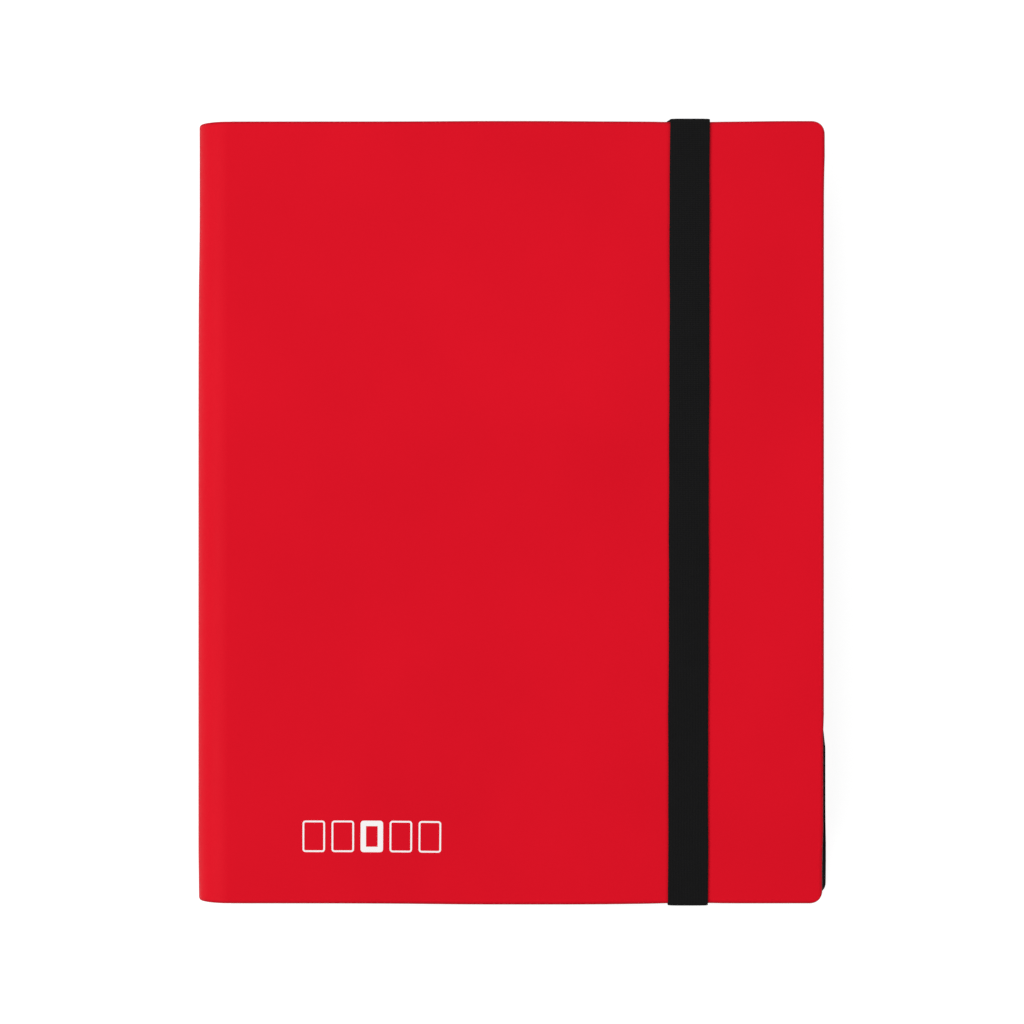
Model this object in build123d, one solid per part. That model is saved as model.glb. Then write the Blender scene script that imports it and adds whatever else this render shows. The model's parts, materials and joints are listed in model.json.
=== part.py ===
from build123d import *
import os
from math import cos, degrees, sin

# Trading card binder: a closed, side-loading pocket binder lying on its back cover.
# Millimetres, +Z up. X runs from the rounded spine (-X) to the fore-edge (+X), and Y runs up
# the height of the cover. The origin is the middle of the whole binder in X and Y, on the
# surface that the back cover lies on. Every leaf and the front cover turn about one line,
# the living hinge, which runs along Y on the outermost line of the spine.

# Pockets and their films
columns = 3
rows = 3
pocket_width = 70.0
pocket_height = 96.0
weld_width = 3.0
mouth_width = 1.2
film_thickness = 0.15
pocket_depth = 0.15

# Leaves
leaf_count = 20
backing_thickness = 0.2
leaf_rim = 1.5
leaf_corner = 3.0
leaf_gap = 0.3
binding_margin = 8.6
bend_before_film = 2.0
bend_handle_at_stub = 5.0
bend_handle_at_flat = 9.0
stub_gap = 0.12

# Covers
skin_thickness = 0.6
core_thickness = 1.4
lining_thickness = 0.4
corner_radius = 5.0
head_reveal = 5.0
fore_reveal = 6.0
back_overhang = 3.0
block_clearance = 0.4
hinge_gap = 0.3
core_setback = 1.0

# Binding strip: a round bead about the hinge line, which the bound edges of the leaves turn round
bead_radius = 3.0
bead_clearance = 0.5
stub_clearance = 0.4
foot_height = 0.6
foot_width = 0.3
lining_clearance = 0.2

# Elastic strap
strap_width = 16.0
strap_thickness = 0.8
strap_clearance = 0.25
strap_from_fore_edge = 53.5
tail_length = 25.0
tail_side_clearance = 0.4
tail_depth_clearance = 0.05
tail_joint_gap = 0.3

# Sizes that follow from the ones above
cover_thickness = skin_thickness + core_thickness + lining_thickness
leaf_thickness = backing_thickness + 2 * (pocket_depth + film_thickness)
leaf_pitch = leaf_thickness + leaf_gap
stub_radius = bead_radius + stub_clearance
stub_step = (backing_thickness + stub_gap) / stub_radius
total_thickness = 2 * cover_thickness + leaf_count * leaf_pitch + block_clearance
mid_z = total_thickness / 2
spine_radius = mid_z
film_width = columns * (pocket_width + weld_width) + (columns - 1) * mouth_width
film_height = rows * pocket_height + (rows + 1) * weld_width
leaf_height = film_height + 2 * leaf_rim
cover_height = leaf_height + 2 * head_reveal
front_panel_width = binding_margin + film_width + leaf_rim + fore_reveal
overall_width = spine_radius + front_panel_width + back_overhang

# Places along X
hinge_x = -overall_width / 2
arc_x = hinge_x + spine_radius
film_x = arc_x + binding_margin
leaf_edge_x = film_x + film_width + leaf_rim
front_edge_x = arc_x + front_panel_width
back_edge_x = front_edge_x + back_overhang
bend_x = film_x - bend_before_film
bead_x = hinge_x + skin_thickness + bead_clearance
core_x = arc_x + core_setback
strap_x = front_edge_x - strap_from_fore_edge

# Heights in the covers, counted from the outside of either cover
lining_z = skin_thickness + core_thickness
tail_top_z = skin_thickness + strap_thickness
elbow_top_z = cover_thickness
half_height = cover_height / 2
strap_inner_y = half_height + strap_clearance
strap_outer_y = strap_inner_y + strap_thickness


def block(x_low, x_high, y_low, y_high, z_low, z_high):
    """Rectangular solid between two corners."""
    size = Box(x_high - x_low, y_high - y_low, z_high - z_low, align=(Align.MIN, Align.MIN, Align.MIN))
    return Pos(x_low, y_low, z_low) * size


def rounded_panel(x_low, x_high, z_low, z_high):
    """Flat sheet of a cover, with rounded corners on its fore-edge."""
    sheet = block(x_low, x_high, -half_height, half_height, z_low, z_high)
    corners = sheet.edges().filter_by(Axis.Z).group_by(Axis.X)[-1]
    return fillet(corners, corner_radius)


def along_spine(section, height):
    """Solid with an XZ section that is carried both ways along Y."""
    return extrude(Plane.XZ * section, height / 2, both=True)


def spine_wall(outer_radius, thickness, gap_at_hinge):
    """Lower quarter of the rounded spine, ending the given arc length short of the hinge line."""
    end_angle = degrees(gap_at_hinge / outer_radius)
    centre = (arc_x, mid_z)
    outer = CenterArc(centre, outer_radius, 180 + end_angle, 90 - end_angle)
    inner = CenterArc(centre, outer_radius - thickness, 180 + end_angle, 90 - end_angle)
    ends = [Line(outer @ 0, inner @ 0), Line(outer @ 1, inner @ 1)]
    return along_spine(make_face([outer, inner] + ends), cover_height)


def turned_over(solid):
    """The same piece of the other cover, mirrored through the middle of the binder."""
    return mirror(solid, about=Plane.XY.offset(mid_z))


def cover_skin(edge_x):
    """Outer sheet of one cover with its half of the rounded spine."""
    return rounded_panel(arc_x, edge_x, 0, skin_thickness) + spine_wall(spine_radius, skin_thickness, hinge_gap / 2)


def cover_core(edge_x):
    """Stiff middle sheet of one cover."""
    return rounded_panel(core_x, edge_x, skin_thickness, lining_z)


def cover_lining(edge_x):
    """Inner sheet of one cover."""
    return rounded_panel(core_x, edge_x, lining_z, cover_thickness)


def spine_lining():
    """Inner sheet of one half of the spine, stopping at the foot of the binding strip."""
    arc_length = bead_radius + foot_height + lining_clearance
    return spine_wall(spine_radius - skin_thickness, lining_thickness, arc_length)


def tail_recess(side):
    """Space in the back cover's core for one end of the strap. side is 1 at the top, -1 at the bottom."""
    half_width = strap_width / 2 + tail_side_clearance
    inner_y = half_height - tail_length - tail_side_clearance
    ends = sorted((side * inner_y, side * (half_height + 1)))
    return block(
        strap_x - half_width,
        strap_x + half_width,
        ends[0],
        ends[1],
        skin_thickness,
        tail_top_z + tail_depth_clearance,
    )


def strap_tail(side):
    """One sewn-in end of the strap: flat in the cover, then bent up just past the cover's edge."""
    low_x = strap_x - strap_width / 2
    high_x = strap_x + strap_width / 2
    flat_ends = sorted((side * (half_height - tail_length), side * strap_outer_y))
    elbow_ends = sorted((side * strap_inner_y, side * strap_outer_y))
    flat = block(low_x, high_x, flat_ends[0], flat_ends[1], skin_thickness, tail_top_z)
    elbow = block(low_x, high_x, elbow_ends[0], elbow_ends[1], skin_thickness, elbow_top_z)
    return flat + elbow


def strap_band():
    """Moving part of the strap: the run over the front cover and a leg past each end of it."""
    low_x = strap_x - strap_width / 2
    high_x = strap_x + strap_width / 2
    run_z = total_thickness + strap_clearance
    top_z = run_z + strap_thickness
    band = block(low_x, high_x, -strap_outer_y, strap_outer_y, run_z, top_z)
    for side in (-1, 1):
        leg_ends = sorted((side * strap_inner_y, side * strap_outer_y))
        band += block(low_x, high_x, leg_ends[0], leg_ends[1], elbow_top_z + tail_joint_gap, top_z)
    return band


def binding_strip():
    """Bead whose round face is centred on the living hinge, with a foot on the inside of the back cover's spine."""
    hinge = Pos(hinge_x, mid_z)
    spine_centre = Pos(arc_x, mid_z)
    beside_hinge = Pos(bead_x + bead_radius, mid_z) * Rectangle(2 * bead_radius, 2 * bead_radius)
    clear_of_front = spine_centre * Circle(spine_radius - skin_thickness - bead_clearance)
    bead = (hinge * Circle(bead_radius)) & beside_hinge & clear_of_front
    foot_reach = bead_x + foot_width - hinge_x
    foot_rise = bead_radius / 2 + foot_height
    foot_place = Pos(hinge_x + foot_reach / 2, mid_z - bead_radius - foot_height + foot_rise / 2)
    foot = (foot_place * Rectangle(foot_reach, foot_rise)) & (spine_centre * Circle(spine_radius - skin_thickness))
    return along_spine(bead + foot, leaf_height)


def leaf_z(number):
    """Height of a leaf's middle plane. Leaf 1 lies under the front cover."""
    lowest = cover_thickness + block_clearance / 2 + leaf_pitch / 2
    return lowest + (leaf_count - number) * leaf_pitch


def stub_angle(number):
    """Direction of a leaf's bound end, in radians above level. The bound ends fan out evenly round the bead."""
    return ((leaf_count + 1) / 2 - number) * stub_step


def backing_curve(number, offset):
    """Curve from a leaf's bound end, which points away from the hinge line, to its flat part.

    offset is the distance from the sheet's middle, positive above it.
    """
    angle = stub_angle(number)
    start_x = hinge_x + stub_radius * cos(angle) - offset * sin(angle)
    start_z = mid_z + stub_radius * sin(angle) + offset * cos(angle)
    end_z = leaf_z(number) + offset
    leave = (start_x + bend_handle_at_stub * cos(angle), start_z + bend_handle_at_stub * sin(angle))
    return Bezier((start_x, start_z), leave, (bend_x - bend_handle_at_flat, end_z), (bend_x, end_z))


def leaf_backing(number):
    """Opaque sheet of one leaf, flat in the block and curving in to the binding strip."""
    lower = backing_curve(number, -backing_thickness / 2)
    upper = backing_curve(number, backing_thickness / 2)
    flat_low = Line(lower @ 1, (leaf_edge_x, leaf_z(number) - backing_thickness / 2))
    flat_high = Line(upper @ 1, (leaf_edge_x, leaf_z(number) + backing_thickness / 2))
    ends = [Line(lower @ 0, upper @ 0), Line(flat_low @ 1, flat_high @ 1)]
    sheet = along_spine(make_face([lower, upper, flat_low, flat_high] + ends), leaf_height)
    corners = sheet.edges().filter_by(Axis.Z).group_by(Axis.X)[-1]
    return fillet(corners, leaf_corner)


def pocket_film():
    """Clear film for one side of a leaf, standing on its weld lines at z = 0, with a slit at each inner mouth."""
    low_y = -film_height / 2
    top_z = pocket_depth + film_thickness
    film = block(film_x, film_x + film_width, low_y, -low_y, pocket_depth, top_z)
    for row in range(rows + 1):
        weld_y = low_y + row * (pocket_height + weld_width)
        film += block(film_x, film_x + film_width, weld_y, weld_y + weld_width, 0, pocket_depth)
    for column in range(columns):
        closed_x = film_x + column * (pocket_width + weld_width + mouth_width) + pocket_width
        film += block(closed_x, closed_x + weld_width, low_y, -low_y, 0, pocket_depth)
    for column in range(1, columns):
        slit_x = film_x + column * (pocket_width + weld_width + mouth_width) - mouth_width
        for row in range(rows):
            slit_y = low_y + weld_width + row * (pocket_height + weld_width)
            film -= block(slit_x, slit_x + mouth_width, slit_y, slit_y + pocket_height, 0, top_z)
    return film


def leaf_pockets(number, film):
    """The two films of one leaf, one on each face of its backing."""
    upper = Pos(0, 0, leaf_z(number) + backing_thickness / 2) * film
    lower = Pos(0, 0, leaf_z(number) - backing_thickness / 2) * mirror(film, about=Plane.XY)
    return Compound([upper.solid(), lower.solid()])


def cover_parts():
    """The sheets of both covers, by node name."""
    core = cover_core(back_edge_x) - tail_recess(1) - tail_recess(-1)
    return {
        "back_cover_skin": cover_skin(back_edge_x),
        "back_cover_core": core,
        "back_cover_lining": cover_lining(back_edge_x),
        "back_spine_lining": spine_lining(),
        "front_cover_skin": turned_over(cover_skin(front_edge_x)),
        "front_cover_core": turned_over(cover_core(front_edge_x)),
        "front_cover_lining": turned_over(cover_lining(front_edge_x)),
        "front_spine_lining": turned_over(spine_lining()),
    }


def closure_parts():
    """The strap and the strip that binds the leaves, by node name."""
    return {
        "strap_band": strap_band(),
        "strap_tail_top": strap_tail(1),
        "strap_tail_bottom": strap_tail(-1),
        "binding_strip": binding_strip(),
    }


def leaf_parts():
    """Two nodes for each leaf, by node name."""
    film = pocket_film()
    parts = {}
    for number in range(1, leaf_count + 1):
        parts[f"leaf_{number:02d}_backing"] = leaf_backing(number)
        parts[f"leaf_{number:02d}_pockets"] = leaf_pockets(number, film)
    return parts


os.makedirs("parts", exist_ok=True)
for name, shape in (cover_parts() | closure_parts() | leaf_parts()).items():
    export_step(shape, f"parts/{name}.step")
print("hinge", hinge_x, mid_z, "overall", overall_width, cover_height, total_thickness)
print("front edge", front_edge_x, "back edge", back_edge_x, "strap", strap_x, "arc", arc_x)
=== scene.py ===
import json
import math

import bpy
import numpy as np
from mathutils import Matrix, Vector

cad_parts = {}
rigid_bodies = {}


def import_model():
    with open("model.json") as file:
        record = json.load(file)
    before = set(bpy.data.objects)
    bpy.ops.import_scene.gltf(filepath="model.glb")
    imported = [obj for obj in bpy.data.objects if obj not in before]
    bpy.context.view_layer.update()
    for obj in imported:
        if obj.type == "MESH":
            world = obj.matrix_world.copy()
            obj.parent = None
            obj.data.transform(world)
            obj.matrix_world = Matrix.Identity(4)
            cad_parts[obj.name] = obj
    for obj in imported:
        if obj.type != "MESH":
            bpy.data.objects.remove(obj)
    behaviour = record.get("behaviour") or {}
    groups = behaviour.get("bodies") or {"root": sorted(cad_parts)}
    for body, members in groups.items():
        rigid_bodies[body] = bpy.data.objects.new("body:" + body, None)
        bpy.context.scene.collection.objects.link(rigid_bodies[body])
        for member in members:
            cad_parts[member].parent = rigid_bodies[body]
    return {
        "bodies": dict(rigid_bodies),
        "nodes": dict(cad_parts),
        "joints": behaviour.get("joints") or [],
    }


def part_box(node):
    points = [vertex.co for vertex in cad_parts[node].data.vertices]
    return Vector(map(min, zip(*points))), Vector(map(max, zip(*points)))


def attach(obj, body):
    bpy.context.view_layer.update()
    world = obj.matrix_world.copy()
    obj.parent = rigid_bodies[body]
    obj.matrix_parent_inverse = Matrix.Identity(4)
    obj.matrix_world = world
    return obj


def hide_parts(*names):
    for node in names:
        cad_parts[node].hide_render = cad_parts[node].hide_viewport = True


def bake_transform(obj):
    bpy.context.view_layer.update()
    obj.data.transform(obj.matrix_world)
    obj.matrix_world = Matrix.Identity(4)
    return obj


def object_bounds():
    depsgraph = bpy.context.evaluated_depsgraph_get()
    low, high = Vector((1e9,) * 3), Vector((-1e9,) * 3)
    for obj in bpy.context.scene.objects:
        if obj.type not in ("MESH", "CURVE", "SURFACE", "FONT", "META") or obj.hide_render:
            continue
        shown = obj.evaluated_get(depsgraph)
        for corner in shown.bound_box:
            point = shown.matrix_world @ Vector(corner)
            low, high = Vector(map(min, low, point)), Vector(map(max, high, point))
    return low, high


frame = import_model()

# Trading card binder, closed, lying on its back cover. Metres, +Z up, spine at -X, height along Y.
MM = 0.001

cad_low, cad_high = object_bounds()
turn_joint = next(j for j in frame["joints"] if j["name"] == "front_cover_turn")
leaf_names = sorted(b for b in frame["bodies"] if b.startswith("leaf_"))

# Sizes read from the frame
hinge_x, _, mid_z = turn_joint["pos_m"]
top_z = 2 * mid_z
spine_radius = mid_z
arc_x = hinge_x + spine_radius
arc_length = spine_radius * math.pi / 2
front_edge_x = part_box("front_cover_skin")[1].x
back_edge_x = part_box("back_cover_skin")[1].x
half_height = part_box("back_cover_skin")[1].y
skin_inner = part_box("back_cover_core")[0].z
core_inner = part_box("back_cover_lining")[0].z
cover_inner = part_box("back_cover_lining")[1].z
core_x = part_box("back_cover_core")[0].x
strap_low, strap_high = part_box("strap_band")
strap_x = (strap_low.x + strap_high.x) / 2
strap_half_width = (strap_high.x - strap_low.x) / 2

# Sizes of the finish, which the frame doesn't hold
corner_radius = 5.0 * MM
edge_roll_width = 1.3 * MM
edge_roll_drop = 0.40 * MM
cover_wave = 0.10 * MM
# painted shade on the red sheet: how much darker its colour gets along the edges and at the spine's fold,
# and how wide the fold band is
painted_edge_shade = 0.36
painted_fold_shade = 0.22
painted_fold_shade_width = 7.0 * MM
core_past_skin = 0.14 * MM
hinge_slit = 0.03 * MM
sheet_gap = 0.02 * MM
lining_start = 3.8 * MM
film_under_core = 0.4 * MM
strap_thickness = 0.9 * MM
strap_over_cover = 0.05 * MM
strap_past_head = 0.26 * MM
strap_past_foot = -0.08 * MM
strap_bend = 1.0 * MM
strap_tail = 12.0 * MM
strap_aside = 0.03 * MM
strap_lean = 0.8 * MM
strap_slant = 1.0 * MM
rib_pitch = 0.8 * MM
rib_height = 0.05 * MM
knurl_pitch = 0.9 * MM
leaf_corner = 3.0 * MM
sheet_thickness = 0.2 * MM
stub_radius = 3.4 * MM
stub_gap = 0.12 * MM
bend_handle_at_stub = 5.0 * MM
bend_handle_at_flat = 9.0 * MM
film_thickness = 0.12 * MM
print_height = 0.03 * MM


# ---------------------------------------------------------------- shader maths

class Value:
    """A socket of a finish. Sums, differences and products with numbers or other values add Math nodes."""

    def __init__(self, finish, socket):
        self.finish = finish
        self.socket = socket

    def maths(self, operation, first, second):
        return self.finish.node("ShaderNodeMath", {"operation": operation}, {0: first, 1: second})

    def __add__(self, other):
        return self.maths("ADD", self, other)

    def __mul__(self, other):
        return self.maths("MULTIPLY", self, other)

    def __sub__(self, other):
        return self.maths("SUBTRACT", self, other)


class Finish:
    """A material being built. node() adds any node from its type, its settings and its sockets' values."""

    def __init__(self, name):
        self.material = bpy.data.materials.new(name)
        self.material.use_nodes = True
        self.tree = self.material.node_tree
        self.tree.nodes.clear()

    def node(self, kind, settings=None, sockets=None, output=0):
        made = self.tree.nodes.new(kind)
        for name, value in (settings or {}).items():
            if name == "stops":
                self.set_stops(made.color_ramp, value)
            else:
                setattr(made, name, value)
        for name, value in (sockets or {}).items():
            if isinstance(value, Value):
                self.tree.links.new(value.socket, made.inputs[name])
            else:
                made.inputs[name].default_value = value
        return Value(self, made.outputs[output]) if made.outputs else None

    def set_stops(self, ramp, stops):
        """Two colour stops of a ramp, each a place and a colour."""
        for element, (place, colour) in zip(ramp.elements, stops):
            element.position = place
            element.color = (*colour, 1)

    def place(self):
        """Object coordinates, in metres."""
        return self.node("ShaderNodeTexCoord", output=3)

    def noise(self, size, detail=2.0, rough=0.5, where=None, stretch=(1, 1, 1)):
        """Noise whose cells are about `size` metres across, from 0 to 1."""
        scaled = self.node("ShaderNodeMapping", None, {"Vector": where or self.place(), "Scale": stretch})
        sockets = {"Vector": scaled, "Scale": 1 / size, "Detail": detail, "Roughness": rough}
        return self.node("ShaderNodeTexNoise", None, sockets)

    def across_and_along(self, vector):
        """The first two parts of a vector."""
        split = self.node("ShaderNodeSeparateXYZ", None, {"Vector": vector})
        return split, Value(self, split.socket.node.outputs[1])

    def sine(self, angle):
        """Sine of an angle in radians, from -1 to 1."""
        return self.node("ShaderNodeMath", {"operation": "SINE"}, {0: angle})

    def ranged(self, value, low, high, to_low, to_high):
        """A value's range mapped onto another, clamped."""
        sockets = {"Value": value, "From Min": low, "From Max": high, "To Min": to_low, "To Max": to_high}
        return self.node("ShaderNodeMapRange", {"clamp": True}, sockets)

    def mixed(self, factor, first, second):
        """Two colours mixed by a factor. The first may be a value."""
        first = first if isinstance(first, Value) else (*first, 1)
        sockets = {"Factor": factor, 6: first, 7: (*second, 1)}
        return self.node("ShaderNodeMix", {"data_type": "RGBA"}, sockets, output=2)

    def bump(self, height, distance, strength, under=None):
        """Normal pushed by a height from 0 to 1 that stands for `distance` metres."""
        sockets = {"Height": height, "Distance": distance, "Strength": strength}
        if under is not None:
            sockets["Normal"] = under
        return self.node("ShaderNodeBump", None, sockets)

    def plastic(self, sockets):
        """Ends the finish in one Principled shader."""
        shader = self.node("ShaderNodeBsdfPrincipled", None, sockets)
        self.node("ShaderNodeOutputMaterial", None, {"Surface": shader})
        return self.material


# ---------------------------------------------------------------- finishes

def matte_cover(name, dark, light, grain_depth):
    """Matte polypropylene sheet: fine sand grain, slow changes of tone, and a few faint rubbed marks.

    Its base colour carries painted shade: it is darker along the sheet's edges and at the spine's fold.
    """
    finish = Finish(name)
    # painted shade: a point attribute that darkens the base colour along the edges and at the spine's fold
    pressed = finish.node("ShaderNodeAttribute", {"attribute_name": "pressed"}, output=2)
    tone = finish.noise(70 * MM, detail=3.0)
    speck = finish.noise(0.9 * MM, detail=2.0)
    tint = finish.ranged(tone * 0.8 + speck * 0.2, 0.3, 0.7, 0.0, 1.0)
    grain = finish.noise(0.22 * MM, detail=2.0, rough=0.6)
    orange_peel = finish.noise(2.6 * MM, detail=1.0)
    rubbed = finish.noise(9 * MM, detail=5.0, rough=0.7, stretch=(1.0, 0.25, 1.0))
    rough = finish.ranged(rubbed * 0.6 + speck * 0.4, 0.35, 0.68, 0.64, 0.52)
    fine = finish.bump(grain, 0.02 * MM, grain_depth)
    normal = finish.bump(orange_peel, 0.03 * MM, 0.18, fine)
    sheet = finish.mixed(tint, dark, light)
    return finish.plastic({
        # painted shade: the sheet's colour is mixed towards a near-black red by that attribute
        "Base Color": finish.mixed(pressed, sheet, (0.010, 0.0004, 0.0010)),
        "Roughness": rough,
        "Specular IOR Level": 0.05,
        "Normal": normal,
    })


def smooth_sheet(name, dark, light, shine):
    """Smooth polypropylene sheet, with faint lengthwise flow marks from the rollers."""
    finish = Finish(name)
    tone = finish.noise(40 * MM, detail=2.0)
    flow = finish.noise(1.2 * MM, detail=3.0, stretch=(1.0, 0.03, 1.0))
    fine = finish.noise(0.35 * MM, detail=2.0)
    rough = finish.ranged(flow * 0.7 + tone * 0.3, 0.35, 0.65, shine + 0.08, shine)
    return finish.plastic({
        "Base Color": finish.mixed(tone, dark, light),
        "Roughness": rough,
        "Specular IOR Level": 0.4,
        "Normal": finish.bump(flow * 0.6 + fine * 0.4, 0.02 * MM, 0.25),
    })


def woven(name, colour, lit_thread_colour, across_pitch, along_pitch, depth, pattern):
    """Woven threads: a sine across and a sine along the cloth. Their product is the over and under."""
    finish = Finish(name)
    across, along = finish.across_and_along(pattern(finish))
    warp = finish.sine(across * (2 * math.pi / across_pitch))
    weft = finish.sine(along * (2 * math.pi / along_pitch))
    fuzz = finish.noise(0.16 * MM, detail=3.0, rough=0.65)
    tone = finish.noise(14 * MM, detail=2.0)
    height = warp * 0.16 + weft * 0.10 + warp * weft * 0.14 + 0.5
    # painted shade in the weave: the colour is lighter on the raised threads and darker in the dips between
    # them, with real fuzz and slow tone mixed in
    painted_weave_shade_and_fuzz = finish.ranged(height * 0.6 + fuzz * 0.3 + tone * 0.1, 0.25, 0.75, 0.0, 1.0)
    return finish.plastic({
        # painted shade: the first colour fills the dips and the second colour lights the raised threads
        "Base Color": finish.mixed(painted_weave_shade_and_fuzz, colour, lit_thread_colour),
        "Roughness": finish.ranged(fuzz, 0.3, 0.7, 0.92, 0.78),
        "Specular IOR Level": 0.05,
        "Sheen Weight": 0.012,
        "Sheen Roughness": 0.45,
        "Normal": finish.bump(height * 0.75 + fuzz * 0.25, depth, 0.8),
    })


def own_uv(finish):
    """The piece's own map, in metres across and along."""
    return finish.node("ShaderNodeTexCoord", output=2)


def clear_film(name):
    """Clear pocket film: glossy, milky and knurled on its welds, with faint drawn ripples."""
    finish = Finish(name)
    weld = finish.node("ShaderNodeAttribute", {"attribute_name": "weld"}, output=2)
    ripple = finish.noise(48 * MM, detail=1.0, stretch=(1.0, 0.4, 1.0))
    haze = finish.noise(30 * MM, detail=2.0, rough=0.5)
    across, along = finish.across_and_along(finish.place())
    knurls = 2 * math.pi / knurl_pitch
    knurl = finish.sine((across + along) * knurls) * finish.sine((across - along) * knurls) * 0.5 + 0.5
    ripples = finish.bump(ripple, 0.35 * MM, 0.5)
    return finish.plastic({
        "Base Color": finish.mixed(weld, (0.024, 0.025, 0.027), (0.115, 0.120, 0.125)),
        "Roughness": weld * 0.2 + finish.ranged(haze, 0.3, 0.7, 0.31, 0.37),
        "Specular IOR Level": 0.5,
        "Alpha": finish.ranged(haze, 0.3, 0.7, 0.40, 0.46) + weld * 0.25,
        "Normal": finish.bump(knurl * weld, 0.06 * MM, 0.6, ripples),
    })


def white_ink(name):
    """Screen-printed white ink, with small thin spots."""
    finish = Finish(name)
    spots = finish.noise(0.4 * MM, detail=3.0)
    return finish.plastic({
        "Base Color": finish.mixed(spots, (0.66, 0.63, 0.63), (0.82, 0.80, 0.80)),
        "Roughness": finish.ranged(spots, 0.3, 0.7, 0.5, 0.4),
        "Normal": finish.bump(spots, 0.01 * MM, 0.3),
    })


def pale_floor(name):
    """Plain white table top, with the faintest tone in it."""
    finish = Finish(name)
    tone = finish.noise(200 * MM, detail=1.0)
    return finish.plastic({
        "Base Color": finish.mixed(tone, (0.29, 0.29, 0.29), (0.31, 0.31, 0.31)),
        "Roughness": 0.9,
        "Specular IOR Level": 0.0,
        "Emission Color": (1, 1, 1, 1),
        "Emission Strength": 0.80,
    })


RED_SHEET = matte_cover("red_cover_sheet", (0.530, 0.0026, 0.0118), (0.570, 0.0032, 0.0132), 0.35)
BLACK_LINING = matte_cover("black_lining_sheet", (0.0085, 0.0085, 0.0090), (0.0125, 0.0125, 0.0130), 0.5)
BLACK_CORE = smooth_sheet("black_core_board", (0.010, 0.010, 0.010), (0.016, 0.016, 0.016), 0.55)
LEAF_SHEET = smooth_sheet("black_leaf_sheet", (0.0100, 0.0100, 0.0108), (0.0135, 0.0135, 0.0145), 0.42)
# each weave's first colour is its painted shade in the dips, and its second is the lit raised threads
ELASTIC = woven("black_elastic", (0.0022, 0.0022, 0.0023), (0.0100, 0.0100, 0.0102),
                0.62 * MM, rib_pitch, 0.10 * MM, own_uv)
TAPE = woven("black_binding_tape", (0.006, 0.006, 0.006), (0.022, 0.022, 0.022),
             0.5 * MM, 0.5 * MM, 0.08 * MM, Finish.place)
FILM = clear_film("clear_pocket_film")
INK = white_ink("white_print")


# ---------------------------------------------------------------- meshes

def add_piece(name, points, quads, finish, uv=None, sharp=math.radians(50)):
    """Object from an array of points and one of quads, smooth but for edges sharper than `sharp`."""
    mesh = bpy.data.meshes.new(name)
    mesh.from_pydata(points.tolist(), [], quads.tolist())
    mesh.polygons.foreach_set("use_smooth", np.ones(len(quads), bool))
    mesh.set_sharp_from_angle(angle=sharp)
    if uv is not None:
        layer = mesh.uv_layers.new(name="pattern")
        layer.data.foreach_set("uv", uv[quads.ravel()].astype(np.float32).ravel())
    mesh.materials.append(finish)
    mesh.update()
    piece = bpy.data.objects.new(name, mesh)
    bpy.context.scene.collection.objects.link(piece)
    return piece


def settle(piece, body, slot, *nodes):
    """The piece rides on a body and stands for CAD nodes, which it hides. The slot is not used."""
    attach(piece, body)
    if nodes:
        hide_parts(*nodes)
    return piece


def grid_quads(count_u, count_v, first=0):
    """Quads over a grid of points that is numbered row by row from `first`, facing u cross v."""
    index = first + np.arange(count_u * count_v).reshape(count_u, count_v)
    corners = (index[:-1, :-1], index[1:, :-1], index[1:, 1:], index[:-1, 1:])
    return np.stack(corners, -1).reshape(-1, 4)


def band_quads(rings):
    """Quads between each closed ring of point numbers and the next one."""
    rings = np.asarray(rings)
    after = np.roll(rings, -1, axis=1)
    return np.stack((rings[:-1], rings[1:], after[1:], after[:-1]), -1).reshape(-1, 4)


def flat_pattern(s, y, depth):
    """Points left flat, as they are on the pattern."""
    return np.stack((s, y, depth), -1)


def slab(s, v, reach, half, corner, rim, depth, thickness, place, turns=6):
    """Closed sheet, made flat and carried to its shape by place(s, y, depth).

    s runs from the bound edge to the fore-edge, and v from -1 to 1 up the height. Half the height is
    `half`, and past the start of a rounded corner it drops by radius minus the square root of radius
    squared less the distance past that start squared. A rim turns half round each free edge: it stands
    out by rim times the sine of the turn, and lies in from either face by rim times 1 minus its cosine.
    """
    radius = corner - rim
    past = np.clip(s - (reach - corner), 0, radius)
    straight = np.sqrt(radius**2 - past**2)
    flat_s = np.repeat(s[:, None], len(v), 1)
    flat_y = (half - corner + straight)[:, None] * v[None, :]
    count_u, count_v = flat_s.shape
    outer = np.arange(count_u * count_v).reshape(count_u, count_v)
    loop = np.concatenate((outer[:-1, 0], outer[-1, :-1], outer[:0:-1, -1], outer[0, :0:-1]))
    side_s = np.zeros((count_u, count_v))
    side_y = np.zeros((count_u, count_v))
    side_s[-1, :] = 1
    for column, sign in ((0, -1), (-1, 1)):
        side_s[:, column] = past / radius
        side_y[:, column] = sign * straight / radius
    loop_s, loop_y = flat_s.ravel()[loop], flat_y.ravel()[loop]
    loop_side_s, loop_side_y = side_s.ravel()[loop], side_y.ravel()[loop]
    points = [place(flat_s.ravel(), flat_y.ravel(), np.full(flat_s.size, depth))]
    points.append(place(flat_s.ravel(), flat_y.ravel(), np.full(flat_s.size, depth + thickness)))
    rings = [loop]
    for step in range(1, turns):
        turn = math.pi * step / turns
        out = rim * math.sin(turn)
        if turn <= math.pi / 2:
            down = rim * (1 - math.cos(turn))
        else:
            down = thickness - rim * (1 + math.cos(turn))
        rim_s, rim_y = loop_s + loop_side_s * out, loop_y + loop_side_y * out
        points.append(place(rim_s, rim_y, np.full(len(loop), depth + down)))
        rings.append(2 * flat_s.size + (step - 1) * len(loop) + np.arange(len(loop)))
    rings.append(loop + flat_s.size)
    inner = grid_quads(count_u, count_v, flat_s.size)[:, ::-1]
    quads = np.concatenate((grid_quads(count_u, count_v), inner, band_quads(rings)))
    return np.concatenate(points), quads


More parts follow.
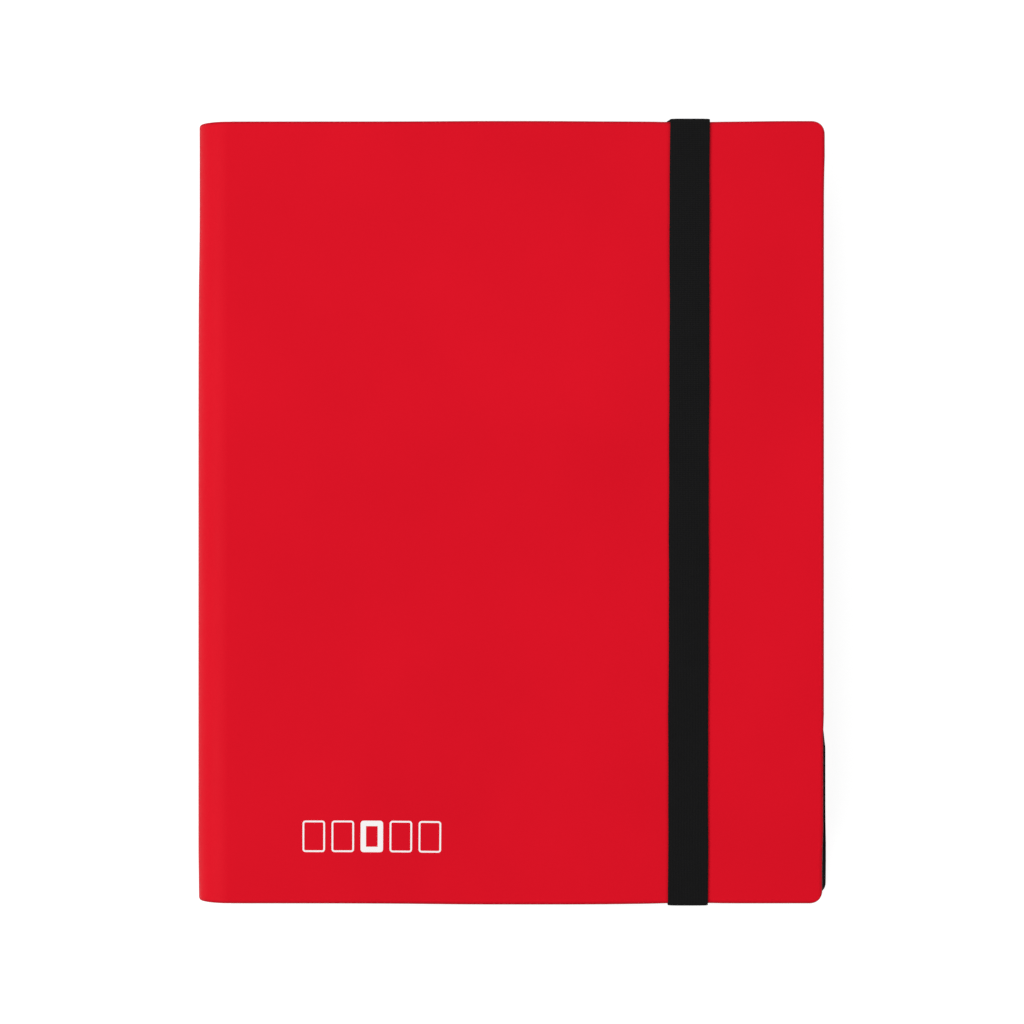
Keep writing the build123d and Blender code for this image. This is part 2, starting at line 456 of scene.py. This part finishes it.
def hump(where, middle, width):
    """Smooth bump from 0 to 1: one over one plus the fourth power of the distance in widths."""
    return 1 / (1 + ((where - middle) / width) ** 4)


def eased(t):
    """Three t squared less two t cubed, held between 0 and 1."""
    t = np.clip(t, 0, 1)
    return t * t * (3 - 2 * t)


def front_fore_edge(y):
    """How far the front cover's fore-edge stands out: flared at the head, drawn in at the foot."""
    drawn_in = 0.26 * eased((-80 * MM - y) / (9 * MM)) + 0.42 * eased((-128 * MM - y) / (12 * MM))
    return (0.58 + 0.34 * hump(y, 146 * MM, 10 * MM) - drawn_in) * MM


def back_fore_edge(y):
    """The same for the back cover, which bows outwards towards its foot."""
    bowed = 0.88 * eased((-88 * MM - y) / (6 * MM)) + 0.22 * hump(y, -141 * MM, 11 * MM)
    return (0.02 + bowed) * MM


def head_and_foot(x, y):
    """How far the head or foot of a cover stands out along its width: bowed, and pinched in by the strap."""
    pinch = 0.24 * hump(x, strap_x, 11 * MM)
    head = -0.06 + 0.20 * hump(x, 0, 30 * MM) + 0.20 * eased((x - 87 * MM) / (24 * MM))
    foot = -0.12 + 0.48 * hump(x, 7 * MM, 44 * MM)
    return (np.where(y > 0, head, -foot) - np.sign(y) * pinch) * eased(np.abs(y) / half_height) * MM


def spine_hollow(y):
    """How far the spine lies in along its height: most of all below the head."""
    return (0.52 * hump(y, 134 * MM, 37 * MM) + 0.25 * hump(y, -155 * MM, 9 * MM)) * MM


def slow_wave(x, y):
    """Sum of three slow sines, from -1 to 1: the sheet is never quite flat."""
    across = np.sin(x * 21 + 0.6) * np.cos(y * 17 + 1.1)
    along = np.sin(y * 31 - x * 12 + 2.0)
    ripple = np.sin(x * 47 + y * 9)
    return 0.5 * across + 0.3 * along + 0.2 * ripple


def cover_place(edge_x, fore_edge, turned):
    """Carries a cover's flat pattern to its shape: a quarter circle from the hinge line, then flat.

    On the quarter the angle is s over the spine's radius, and x and z are the radius less the depth times
    its cosine and sine. Past it x grows with s. The edges roll inwards by a square law over their last
    stretch, and a slow wave lifts the panel. `turned` gives the back cover, mirrored through the middle.
    """
    panel = edge_x - arc_x

    def place(s, y, depth):
        angle = np.clip(s / spine_radius, 0, math.pi / 2)
        along = np.maximum(s - arc_length, 0)
        far = eased(along / panel)
        x = arc_x - (spine_radius - depth) * np.cos(angle) + along + fore_edge(y) * far
        z = mid_z + (spine_radius - depth) * np.sin(angle)
        from_edge = np.minimum(half_height - np.abs(y), panel - along)
        roll = np.clip(1 - from_edge / edge_roll_width, 0, 1) ** 2 * edge_roll_drop
        inner = eased(along / (40 * MM))
        z = z - roll * np.where(along > 0, 1, np.sin(angle)) + cover_wave * slow_wave(x, y) * inner
        x = x + (roll + spine_hollow(y)) * np.where(along > 0, 0, np.cos(angle))
        if turned:
            z = top_z - z
        return np.stack((x, y + head_and_foot(x, y), z), -1)

    return place


def painted_shade_share(points, reach):
    """How deep the painted shade is at points of the flat pattern: falls off evenly from the edges and the
    fold.
    """
    s, y = points[:, 0], points[:, 1]
    from_edge = np.minimum(half_height - np.abs(y), reach - s)
    edge = painted_edge_shade * np.clip(1 - from_edge / edge_roll_width, 0, 1)
    fold = painted_fold_shade * np.clip(1 - s / painted_fold_shade_width, 0, 1)
    return np.maximum(edge, fold)


def cover_samples(start, reach, rim):
    """Steps along a cover's pattern: even on the curve and the panel, closer at the rounded corner."""
    curve = np.linspace(start, arc_length, 37) if start < arc_length else np.array([start])
    panel = np.linspace(max(start, arc_length), reach - corner_radius, 41)[1:]
    quarter = np.sin(np.linspace(0, math.pi / 2, 13))[1:]
    corner = reach - corner_radius + (corner_radius - rim) * quarter
    return np.concatenate((curve, panel, corner))


def height_samples():
    """Steps up a cover from -1 to 1, closer where the edges roll over."""
    near = 1 - edge_roll_width / half_height * np.linspace(0, 1, 6)
    return np.concatenate((-near, np.linspace(-near[-1], near[-1], 40)[1:-1], near[::-1]))


def cover_sheet(name, side, start, past, depth, thickness, rim, finish, slot, node):
    """One sheet of a cover, by its side. It stands out `past` the others at its free edges.

    It is laid out flat, and carried to its shape by the cover's place.
    """
    turned = side == "back"
    edge_x = back_edge_x if turned else front_edge_x
    fore_edge = back_fore_edge if turned else front_fore_edge
    reach = arc_length + edge_x - arc_x + past
    place = cover_place(edge_x, fore_edge, turned)
    steps = cover_samples(start, reach, rim)
    flat, quads = slab(steps, height_samples(), reach, half_height + past, corner_radius, rim, depth,
                       thickness, flat_pattern)
    if turned:
        quads = quads[:, ::-1]
    piece = add_piece(name, place(*flat.T), quads, finish)
    # the red sheets carry the painted shade along their edges and fold as a point attribute
    if finish is RED_SHEET:
        pressed = piece.data.attributes.new("pressed", "FLOAT", "POINT")
        pressed.data.foreach_set("value", painted_shade_share(flat, reach).astype(np.float32))
    return settle(piece, f"{side}_cover", slot, node)


def spine_lining(name, side):
    """The black sheets inside one half of the spine.

    Each is given by where it starts and ends on the pattern, its depth, its thickness and its rim: the
    lining from the binding strip to the core, a film over the skin's inner face from the hinge line to
    under the core, and a strip over the skin's end at the hinge line.
    """
    turned = side == "back"
    edge_x = back_edge_x if turned else front_edge_x
    place = cover_place(edge_x, lambda y: 0 * y, turned)
    crease_end = arc_length + core_x - arc_x + film_under_core
    thickness = cover_inner - core_inner - 2 * sheet_gap
    film_depth = skin_inner - 0.015 * MM
    sheets = ((lining_start, arc_length, skin_inner + sheet_gap, thickness, 0.1 * MM, 30),
              (hinge_slit, crease_end, film_depth, 0.03 * MM, 0.01 * MM, 40),
              (0.004 * MM, hinge_slit, hinge_slit, film_depth, 0.002 * MM, 2))
    points, quads, total = [], [], 0
    for start, end, depth, thick, rim, count in sheets:
        steps = np.linspace(start, end - rim, count)
        corner = min(0.6 * MM, 4 * rim)
        more, faces = slab(steps, height_samples(), end, half_height - 0.03 * MM, corner, rim, depth,
                           thick, place)
        points.append(more)
        quads.append(faces + total)
        total += len(more)
    quads = np.concatenate(quads)
    if turned:
        quads = quads[:, ::-1]
    piece = add_piece(name, np.concatenate(points), quads, BLACK_LINING)
    return settle(piece, f"{side}_cover", "inner_lining", f"{side}_spine_lining")


def covers():
    """Both covers: skin with its half of the spine, core, lining and spine lining."""
    core_start = arc_length + core_x - arc_x
    skin = skin_inner - sheet_gap
    core = core_inner - skin_inner - 2 * sheet_gap
    lining = cover_inner - core_inner - sheet_gap
    for side in ("front", "back"):
        cover_sheet(f"{side}_cover_skin_sheet", side, hinge_slit, 0.0, 0.0, skin, 0.26 * MM,
                    RED_SHEET, "cover_sheet", f"{side}_cover_skin")
        cover_sheet(f"{side}_cover_core_board", side, core_start, core_past_skin, skin_inner + sheet_gap,
                    core, 0.3 * MM, BLACK_CORE, "cover_core", f"{side}_cover_core")
        cover_sheet(f"{side}_cover_lining_sheet", side, core_start, 0.0, core_inner, lining, 0.15 * MM,
                    BLACK_LINING, "inner_lining", f"{side}_cover_lining")
        spine_lining(f"{side}_spine_lining_sheet", side)


covers()

# ---------------------------------------------------------------- elastic strap

def strap_path(step, past):
    """Middle line of half the strap in Y and Z: out of the cover's edge, up past it, and in over the front.

    Straight runs and quarter circles of radius strap_bend, taken at even steps of length.
    """
    middle = strap_thickness / 2
    low_z = skin_inner + middle
    high_z = top_z + strap_over_cover + middle
    out_y = half_height + past + middle
    runs = [out_y - strap_bend - (half_height - strap_tail), strap_bend * math.pi / 2,
            high_z - low_z - 2 * strap_bend, strap_bend * math.pi / 2, out_y - strap_bend]
    ends = np.concatenate(([0], np.cumsum(runs)))
    count = int(round(ends[-1] / step))
    length = np.linspace(0, ends[-1], count + 1)
    done = [np.clip(length - low, 0, run) for low, run in zip(ends[:-1], runs)]
    low_turn, high_turn = done[1] / strap_bend, done[3] / strap_bend
    y = half_height - strap_tail + done[0] + strap_bend * np.sin(low_turn)
    y = y - strap_bend * (1 - np.cos(high_turn)) - done[4]
    z = low_z + strap_bend * (1 - np.cos(low_turn)) + done[2] + strap_bend * np.sin(high_turn)
    facing = low_turn + high_turn
    return length, y, z, facing


def strap():
    """Woven elastic: a flat section with round selvedges carried along the path, its faces ribbed across.

    The section is a superellipse: half width times the cosine of the turn to the power 0.45, half thickness
    times its sine to the power 0.40. Each rib adds the square of a cosine of the length to the thickness,
    and the selvedges wander by slow sines. The strap leans along its height, and slants round the head.
    """
    length, y, z, facing = strap_path(rib_pitch / 4, strap_past_head)
    foot_length, foot_y, foot_z, foot_facing = strap_path(rib_pitch / 4, strap_past_foot)
    length = np.concatenate((length, length[-1] + foot_length[-1] - foot_length[-2::-1]))
    facing = np.concatenate((facing, 2 * math.pi - foot_facing[-2::-1]))
    y = np.concatenate((y, -foot_y[-2::-1]))
    z = np.concatenate((z, foot_z[-2::-1]))
    turn = np.linspace(0, 2 * math.pi, 28, endpoint=False) + math.pi / 28
    across = np.sign(np.cos(turn)) * np.abs(np.cos(turn)) ** 0.45
    through = np.sign(np.sin(turn)) * np.abs(np.sin(turn)) ** 0.40
    rib = np.cos(length * math.pi / rib_pitch) ** 2
    middle_face = 1 - np.abs(across) ** 8
    wander = 0.06 * MM * np.sin(length * 61) + 0.04 * MM * np.sin(length * 173 + 1)
    half_width = strap_half_width + 0.04 * MM * np.sin(length * 97)
    slant = strap_slant * eased((top_z - z) / (9 * MM)) * (y > 0)
    x = strap_x + strap_aside + strap_lean * y / (2 * half_height) + wander - slant
    x = x[:, None] + half_width[:, None] * across[None, :]
    half_thick = strap_thickness / 2 - rib_height
    lift = through[None, :] * (half_thick + rib_height * rib[:, None] * middle_face[None, :])
    out_y, out_z = np.sin(facing), -np.cos(facing)
    points_y = y[:, None] + lift * out_y[:, None]
    points_z = z[:, None] + lift * out_z[:, None]
    points = np.stack((x, points_y, points_z), -1).reshape(-1, 3)
    count = len(turn)
    rings = np.arange(len(length) * count).reshape(len(length), count)
    quads = band_quads(rings)
    half = count // 2
    caps = []
    for ring, order in ((rings[0], 1), (rings[-1], -1)):
        first = ring[:half]
        other = ring[::-1][:half]
        cap = np.stack((first[:-1], first[1:], other[1:], other[:-1]), -1)
        caps.append(cap[:, ::order])
    quads = np.concatenate([quads] + caps)[:, ::-1]
    uv = np.stack((np.tile(across * strap_half_width, len(length)), np.repeat(length, count)), -1)
    piece = add_piece("elastic_strap", points, quads, ELASTIC, uv)
    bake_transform(piece)
    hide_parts("strap_band", "strap_tail_top", "strap_tail_bottom")


strap()

# ---------------------------------------------------------------- leaves

def bound_end(leaf_number):
    """Direction in which a leaf's bound end points away from the hinge line, in radians above level."""
    return ((len(leaf_names) - 1) / 2 - leaf_number) * (sheet_thickness + stub_gap) / stub_radius


def leaf_backing(leaf, number):
    """Black sheet of one leaf. Its bound part is a cubic Bezier curve, and past it the sheet is level.

    The curve starts at the bead, points straight away from the hinge line, and ends level at the leaf's
    own height. s is counted on the curve's parameter there, and the depth is along the curve's normal.
    """
    low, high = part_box(f"{leaf}_backing")
    pockets_low, pockets_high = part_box(f"{leaf}_pockets")
    leaf_z = (pockets_low.z + pockets_high.z) / 2
    angle = bound_end(number)
    aim = np.array([math.cos(angle), math.sin(angle)])
    start = np.array([hinge_x, mid_z]) + stub_radius * aim
    end = np.array([pockets_low.x - 2 * MM, leaf_z])
    guides = (start, start + bend_handle_at_stub * aim, end - np.array([bend_handle_at_flat, 0]), end)
    bend = end[0] - start[0]

    def place(s, y, depth):
        t = np.clip(s / bend, 0, 1)
        shares = ((1 - t) ** 3, 3 * t * (1 - t) ** 2, 3 * t**2 * (1 - t), t**3)
        slopes = (-3 * (1 - t) ** 2, 3 * (1 - t) * (1 - 3 * t), 3 * t * (2 - 3 * t), 3 * t**2)
        x, z = (sum(share * guide[k] for share, guide in zip(shares, guides)) for k in (0, 1))
        run, rise = (sum(slope * guide[k] for slope, guide in zip(slopes, guides)) for k in (0, 1))
        steep = np.hypot(run, rise)
        off = sheet_thickness / 2 - depth
        x = x + np.maximum(s - bend, 0) - off * rise / steep
        return np.stack((x, y, z + off * run / steep), -1)

    reach = high.x - start[0]
    rim = 0.08 * MM
    corner = reach - leaf_corner + (leaf_corner - rim) * np.sin(np.linspace(0, math.pi / 2, 9))[1:]
    steps = np.concatenate((np.linspace(0, bend, 23), np.linspace(bend, reach - leaf_corner, 9)[1:], corner))
    points, quads = slab(steps, np.linspace(-1, 1, 13), reach, high.y, leaf_corner, rim, 0.0,
                         sheet_thickness, place, 4)
    piece = add_piece(f"{leaf}_black_sheet", points, quads, LEAF_SHEET)
    settle(piece, leaf, "leaf_sheet", f"{leaf}_backing")
    return leaf_z


columns, rows = 3, 3
weld_width = 3.0 * MM
mouth_width = 1.2 * MM
weld_edge = 0.35 * MM


def film_lines(low, high, count, gap, samples):
    """Grid lines across one direction of a film, each cell's pocket, and a pocket's size.

    A cell on a weld has -1 for its pocket, and one in a slit has -2. Each pocket is followed by a weld,
    and by a slit as wide as `gap` if there is one before the next pocket.
    """
    pocket = (high - low - count * weld_width - (count - 1) * gap) / count
    inside = pocket * (0.5 - 0.5 * np.cos(np.linspace(0, math.pi, samples - 1)[1:-1]))
    across = np.concatenate(([weld_edge], inside, [pocket - weld_edge, pocket]))
    lines, kinds = [low], []
    for number in range(count):
        lines += list(lines[-1] + across)
        kinds += [number] * samples
        lines += [lines[-1] + weld_width / 2, lines[-1] + weld_width]
        kinds += [-1, -1]
        if gap and number < count - 1:
            lines.append(lines[-1] + gap)
            kinds.append(-2)
    return np.array(lines), np.array(kinds), pocket


def kept_cells_solid(upper, lower, keep):
    """Quads of the closed solid between two grids over the cells that are kept.

    A wall closes each side where a kept cell meets none. The lower grid's points follow the upper's.
    """
    count_u, count_v = upper.shape[:2]
    top = np.arange(count_u * count_v).reshape(count_u, count_v)
    bottom = top + count_u * count_v
    cells = keep.ravel()
    quads = [grid_quads(count_u, count_v)[cells], grid_quads(count_u, count_v, top.size)[cells][:, ::-1]]
    padded = np.pad(keep, 1)
    before, after = padded[:-1, 1:-1], padded[1:, 1:-1]
    for own, order in ((after & ~before, 1), (before & ~after, -1)):
        i, j = np.nonzero(own)
        wall = np.stack((top[i, j], top[i, j + 1], bottom[i, j + 1], bottom[i, j]), -1)
        quads.append(wall[:, ::order])
    before, after = padded[1:-1, :-1], padded[1:-1, 1:]
    for own, order in ((after & ~before, -1), (before & ~after, 1)):
        i, j = np.nonzero(own)
        wall = np.stack((top[i, j], top[i + 1, j], bottom[i + 1, j], bottom[i, j]), -1)
        quads.append(wall[:, ::order])
    return np.concatenate(quads)


def leaf_films(leaf, leaf_z, seed):
    """Both clear films of one leaf. Each lies on its welds and stands a little off the backing between them.

    In a pocket the lift is one less the sixth power of the way from the mouth to the closed side, times one
    less the sixth power of the way from the middle to the top or bottom weld, with a small slow ripple.
    """
    low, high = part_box(f"{leaf}_pockets")
    x_lines, x_kinds, pocket_x = film_lines(low.x, high.x, columns, mouth_width, 9)
    y_lines, y_kinds, pocket_y = film_lines(low.y + weld_width, high.y, rows, 0, 12)
    y_lines = np.concatenate(([low.y], y_lines))
    y_kinds = np.concatenate(([-1], y_kinds))
    x, y = np.meshgrid(x_lines, y_lines, indexing="ij")
    pitch_x = pocket_x + weld_width + mouth_width
    pitch_y = pocket_y + weld_width
    way = np.clip(((x - low.x) % pitch_x) / pocket_x, 0, 1)
    up = np.clip(((y - low.y - weld_width) % pitch_y) / pocket_y, 0, 1)
    from_mouth = (x - low.x) % pitch_x
    at_mouth = np.isclose(from_mouth, 0, atol=1e-7) | np.isclose(from_mouth, pitch_x, atol=1e-7)
    way = np.where(at_mouth, 0, way)
    keep = ~((x_kinds[:, None] == -2) & (y_kinds[None, :] >= 0))
    solids, firsts = [], 0
    weld = []
    for sign in (1, -1):
        ripple = np.sin(x * (90 + 7 * seed) + y * 60 + seed) * np.sin(y * (75 - 3 * seed) + sign)
        lift = (0.11 + 0.02 * ripple) * MM * (1 - way**6) * (1 - np.abs(2 * up - 1) ** 6)
        height = sheet_thickness / 2 + 0.01 * MM + lift
        upper = np.stack((x, y, leaf_z + sign * (height + film_thickness)), -1)
        lower = np.stack((x, y, leaf_z + sign * height), -1)
        quads = kept_cells_solid(upper, lower, keep)
        if sign < 0:
            quads = quads[:, ::-1]
        solids.append((np.concatenate((upper.reshape(-1, 3), lower.reshape(-1, 3))), quads + firsts))
        firsts += 2 * x.size
        weld.append(np.tile((lift < 0.0005 * MM).astype(np.float32).ravel(), 2))
    points = np.concatenate([part[0] for part in solids])
    quads = np.concatenate([part[1] for part in solids])
    piece = add_piece(f"{leaf}_pocket_films", points, quads, FILM)
    attribute = piece.data.attributes.new("weld", "FLOAT", "POINT")
    attribute.data.foreach_set("value", np.concatenate(weld))
    settle(piece, leaf, "pocket_film", f"{leaf}_pockets")


for number, leaf in enumerate(leaf_names):
    leaf_films(leaf, leaf_backing(leaf, number), number)

frame["nodes"]["binding_strip"].data.materials.clear()
frame["nodes"]["binding_strip"].data.materials.append(TAPE)

# ---------------------------------------------------------------- print on the front cover

def card_outline(place, middle_s, middle_y, wide, tall, corner, line):
    """One card drawn as a line: a rounded rectangle ring, raised by the height of the ink.

    Each corner is a quarter circle, and the inner edge is the outer one moved in by the line's width.
    """
    turn = np.concatenate([np.linspace(k, k + 1, 7) * math.pi / 2 for k in range(4)])
    sign_s = np.sign(np.cos((np.repeat(np.arange(4), 7) + 0.5) * math.pi / 2))
    sign_y = np.sign(np.sin((np.repeat(np.arange(4), 7) + 0.5) * math.pi / 2))
    rings = []
    points = []
    for inset, depth in ((0, 0.005 * MM), (0, -print_height), (line, -print_height), (line, 0.005 * MM)):
        radius = max(corner - inset, 0.02 * MM)
        half_s, half_y = wide / 2 - max(inset, corner), tall / 2 - max(inset, corner)
        s = middle_s + sign_s * max(half_s, 0) + radius * np.cos(turn)
        y = middle_y + sign_y * max(half_y, 0) + radius * np.sin(turn)
        rings.append(len(points) * len(turn) + np.arange(len(turn)))
        points.append(place(s, y, np.full(len(turn), depth)))
    rings.append(rings[0])
    return np.concatenate(points), band_quads(rings)[:, ::-1]


def cover_print():
    """A plain row of small card outlines, low on the front cover beside the spine, the middle one bold."""
    place = cover_place(front_edge_x, front_fore_edge, False)
    cards = 5
    wide, tall, apart = 9.0 * MM, 12.6 * MM, 2.6 * MM
    first_s = arc_length + 29.5 * MM + wide / 2
    middle_y = -129.6 * MM
    points, quads, total = [], [], 0
    for number in range(cards):
        line = 2.2 * MM if number == cards // 2 else 0.7 * MM
        middle_s = first_s + number * (wide + apart)
        more, faces = card_outline(place, middle_s, middle_y, wide, tall, 1.2 * MM, line)
        points.append(more)
        quads.append(faces + total)
        total += len(more)
    piece = add_piece("cover_print", np.concatenate(points), np.concatenate(quads), INK)
    settle(piece, "front_cover", "cover_sheet")


cover_print()

# ---------------------------------------------------------------- camera, floor and light

def soft_light(name, place, aim, size, power):
    """Square softbox at a place, turned towards a point."""
    lamp = bpy.data.lights.new(name, "AREA")
    lamp.shape = "SQUARE"
    lamp.size = size
    lamp.energy = power
    box = bpy.data.objects.new(name, lamp)
    box.location = place
    away = box.location - aim
    box.rotation_mode = "QUATERNION"
    box.rotation_quaternion = away.to_track_quat("Z", "Y")
    bpy.context.scene.collection.objects.link(box)


def stage():
    """White floor, four softboxes at the sides, a dim even sky, and a camera straight above the cover."""
    floor_z = cad_low.z - 0.3 * MM
    reach = 8.0
    mesh = bpy.data.meshes.new("floor")
    sides = ((-reach, -reach), (reach, -reach), (reach, reach), (-reach, reach))
    corners = [(x, y, floor_z) for x, y in sides]
    mesh.from_pydata(corners, [], [(0, 1, 2, 3)])
    mesh.materials.append(pale_floor("white_floor"))
    floor = bpy.data.objects.new("floor", mesh)
    bpy.context.scene.collection.objects.link(floor)
    aim = (cad_low + cad_high) / 2
    box_away, box_height, box_side = 1.7, 1.5, 1.3
    boxes = (("left", -1, 0, 36), ("right", 1, 0, 20), ("head", 0, 1, 25), ("foot", -0.6, -1, 22))
    for name, x, y, power in boxes:
        soft_light(f"softbox_{name}", (box_away * x, box_away * y, box_height), aim, box_side, power)
    world = bpy.data.worlds.new("studio")
    world.use_nodes = True
    world.node_tree.nodes["Background"].inputs["Color"].default_value = (1, 1, 1, 1)
    world.node_tree.nodes["Background"].inputs["Strength"].default_value = 0.10
    bpy.context.scene.world = world
    eye = bpy.data.cameras.new("camera")
    eye.sensor_width = 36.0
    distance = 1.1
    view_width = 409.6 * MM
    eye.lens = eye.sensor_width * distance / view_width
    eye.clip_start, eye.clip_end = 0.01, 30
    camera = bpy.data.objects.new("camera", eye)
    view_middle_x, view_middle_y = front_edge_x - 124.2 * MM, 0.2 * MM
    camera.location = (view_middle_x, view_middle_y, top_z + distance)
    bpy.context.scene.collection.objects.link(camera)
    bpy.context.scene.camera = camera
    bpy.context.scene.view_settings.view_transform = "Standard"


stage()
